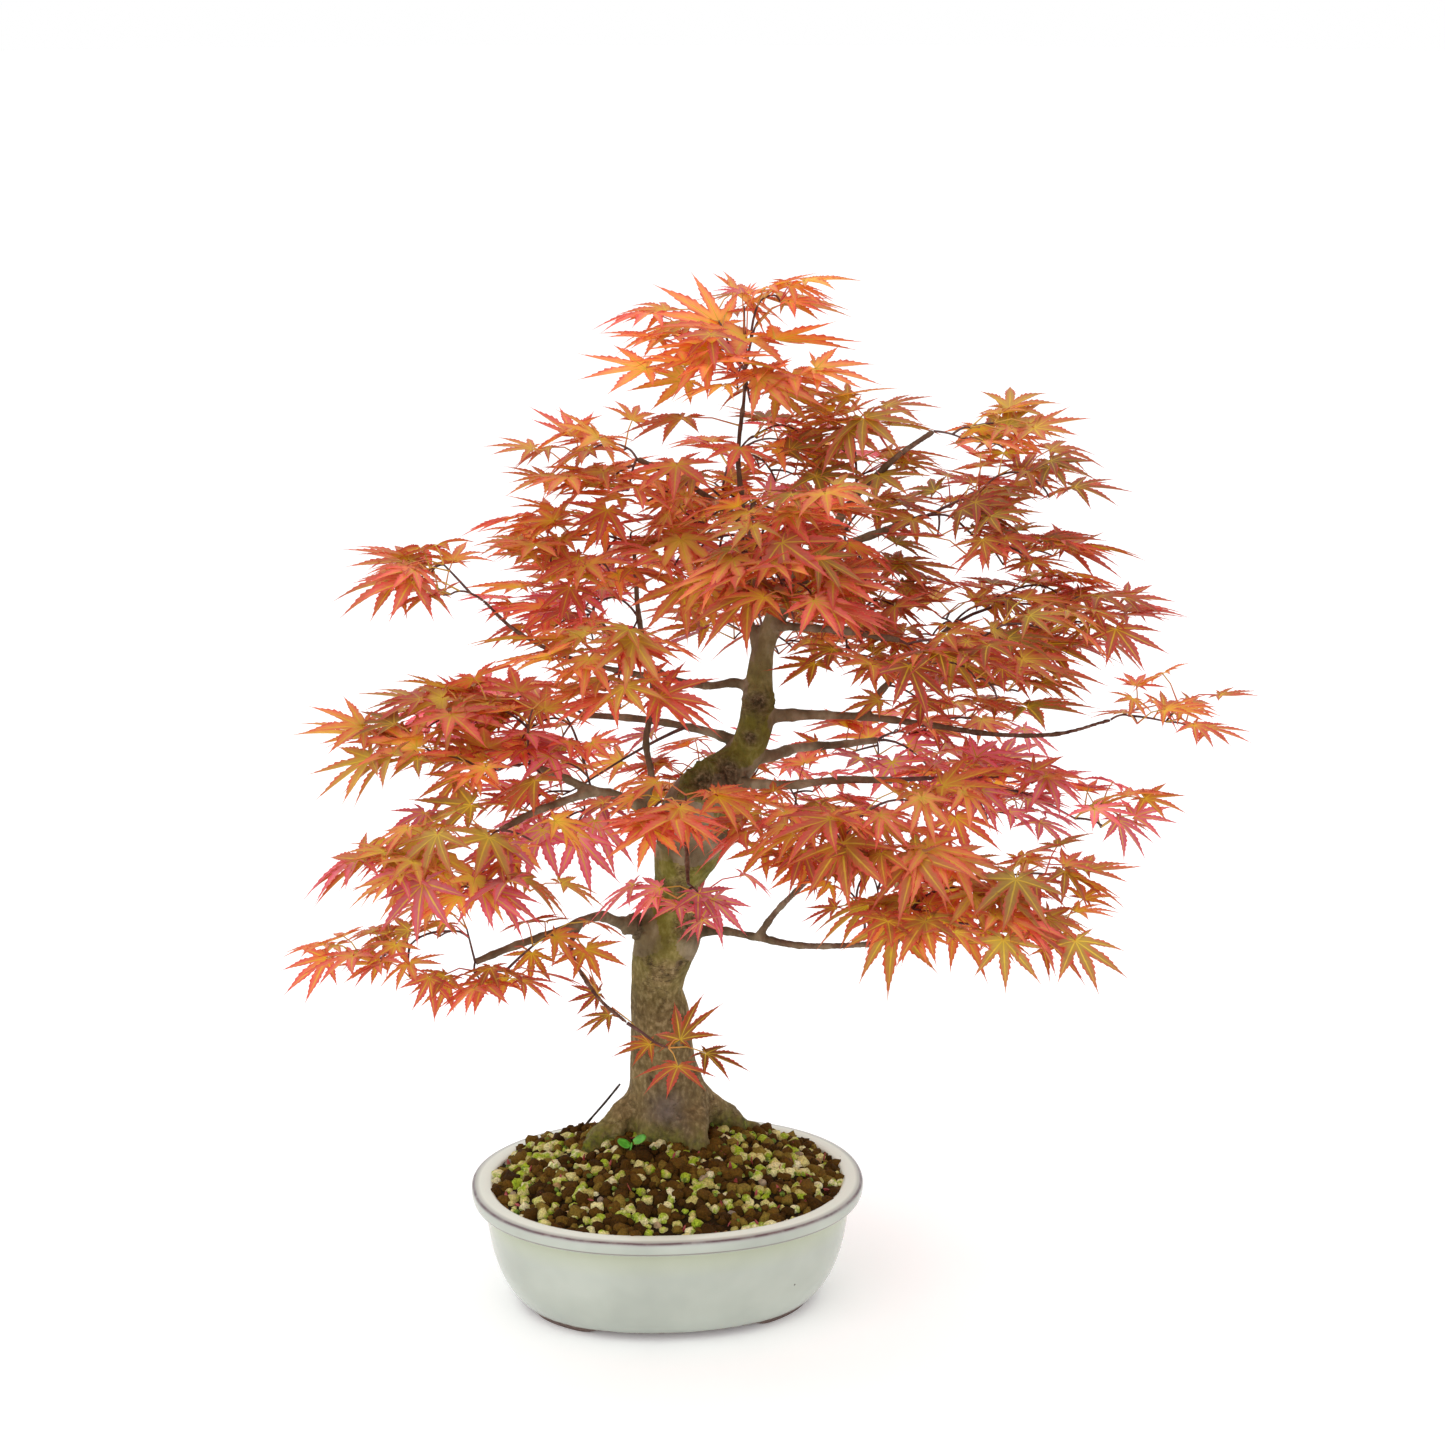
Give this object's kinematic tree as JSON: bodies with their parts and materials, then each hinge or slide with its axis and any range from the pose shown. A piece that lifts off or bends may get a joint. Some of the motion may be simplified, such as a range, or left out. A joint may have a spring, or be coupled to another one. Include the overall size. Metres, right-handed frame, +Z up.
{
  "type": "potted bonsai tree",
  "caption": "Orange-red Japanese maple bonsai with a thick curved trunk, tiered sprays of palmate leaves and a mound of gritty soil in an oval pale-glazed pot.",
  "frame": {"origin": "on the standing plane, under the centre of the pot; the pot's underside is 3.5 mm above it, between the feet", "axes": "+Z up; X along the pot's long axis, with the long branch towards +X; -Y is the front, the side that the tree is seen from"},
  "size_m": [0.5106, 0.3344, 0.5803],
  "materials": {
    "maple_leaf": "satin",
    "maple_bark": "matte",
    "celadon_glaze": "gloss",
    "akadama_soil": "matte",
    "screen_plastic": "matte",
    "dead_twig_bark": "matte",
    "seedling_leaf": "satin"
  },
  "bodies": {
    "root": {"branch_apex": "maple_bark", "branch_back_low": "maple_bark", "branch_back_mid": "maple_bark", "branch_front": "maple_bark", "branch_front_small": "maple_bark", "branch_left_back": "maple_bark", "branch_left_front": "maple_bark", "branch_left_high": "maple_bark", "branch_left_low": "maple_bark", "branch_left_main": "maple_bark", "branch_left_mid": "maple_bark", "branch_left_stem": "maple_bark", "branch_left_tip": "maple_bark", "branch_low_shoot": "maple_bark", "branch_right_back": "maple_bark", "branch_right_front": "maple_bark", "branch_right_long": "maple_bark", "branch_right_low": "maple_bark", "branch_right_mid": "maple_bark", "branch_right_mid_front": "maple_bark", "branch_right_rise": "maple_bark", "branch_right_upper": "maple_bark", "branch_top_right": "maple_bark", "branch_upper_back": "maple_bark", "branch_upper_front": "maple_bark", "branch_upper_left": "maple_bark", "dead_twig": "dead_twig_bark", "drain_screen_left": "screen_plastic", "drain_screen_right": "screen_plastic", "leaves_apex": "maple_leaf", "leaves_back_low": "maple_leaf", "leaves_back_mid": "maple_leaf", "leaves_centre_front": "maple_leaf", "leaves_centre_left": "maple_leaf", "leaves_far_right": "maple_leaf", "leaves_front_small": "maple_leaf", "leaves_left_back": "maple_leaf", "leaves_left_big": "maple_leaf", "leaves_left_low": "maple_leaf", "leaves_left_lower": "maple_leaf", "leaves_left_mid_back": "maple_leaf", "leaves_left_tip": "maple_leaf", "leaves_left_upper": "maple_leaf", "leaves_low_shoot": "maple_leaf", "leaves_right_back": "maple_leaf", "leaves_right_centre": "maple_leaf", "leaves_right_inner": "maple_leaf", "leaves_right_low": "maple_leaf", "leaves_right_mid": "maple_leaf", "leaves_right_mid_front": "maple_leaf", "leaves_top_right": "maple_leaf", "leaves_upper_back": "maple_leaf", "leaves_upper_front": "maple_leaf", "leaves_upper_left": "maple_leaf", "leaves_upper_right": "maple_leaf", "pot": "celadon_glaze", "seedling": "seedling_leaf", "soil": "akadama_soil", "trunk": "maple_bark"}
  },
  "joints": []
}
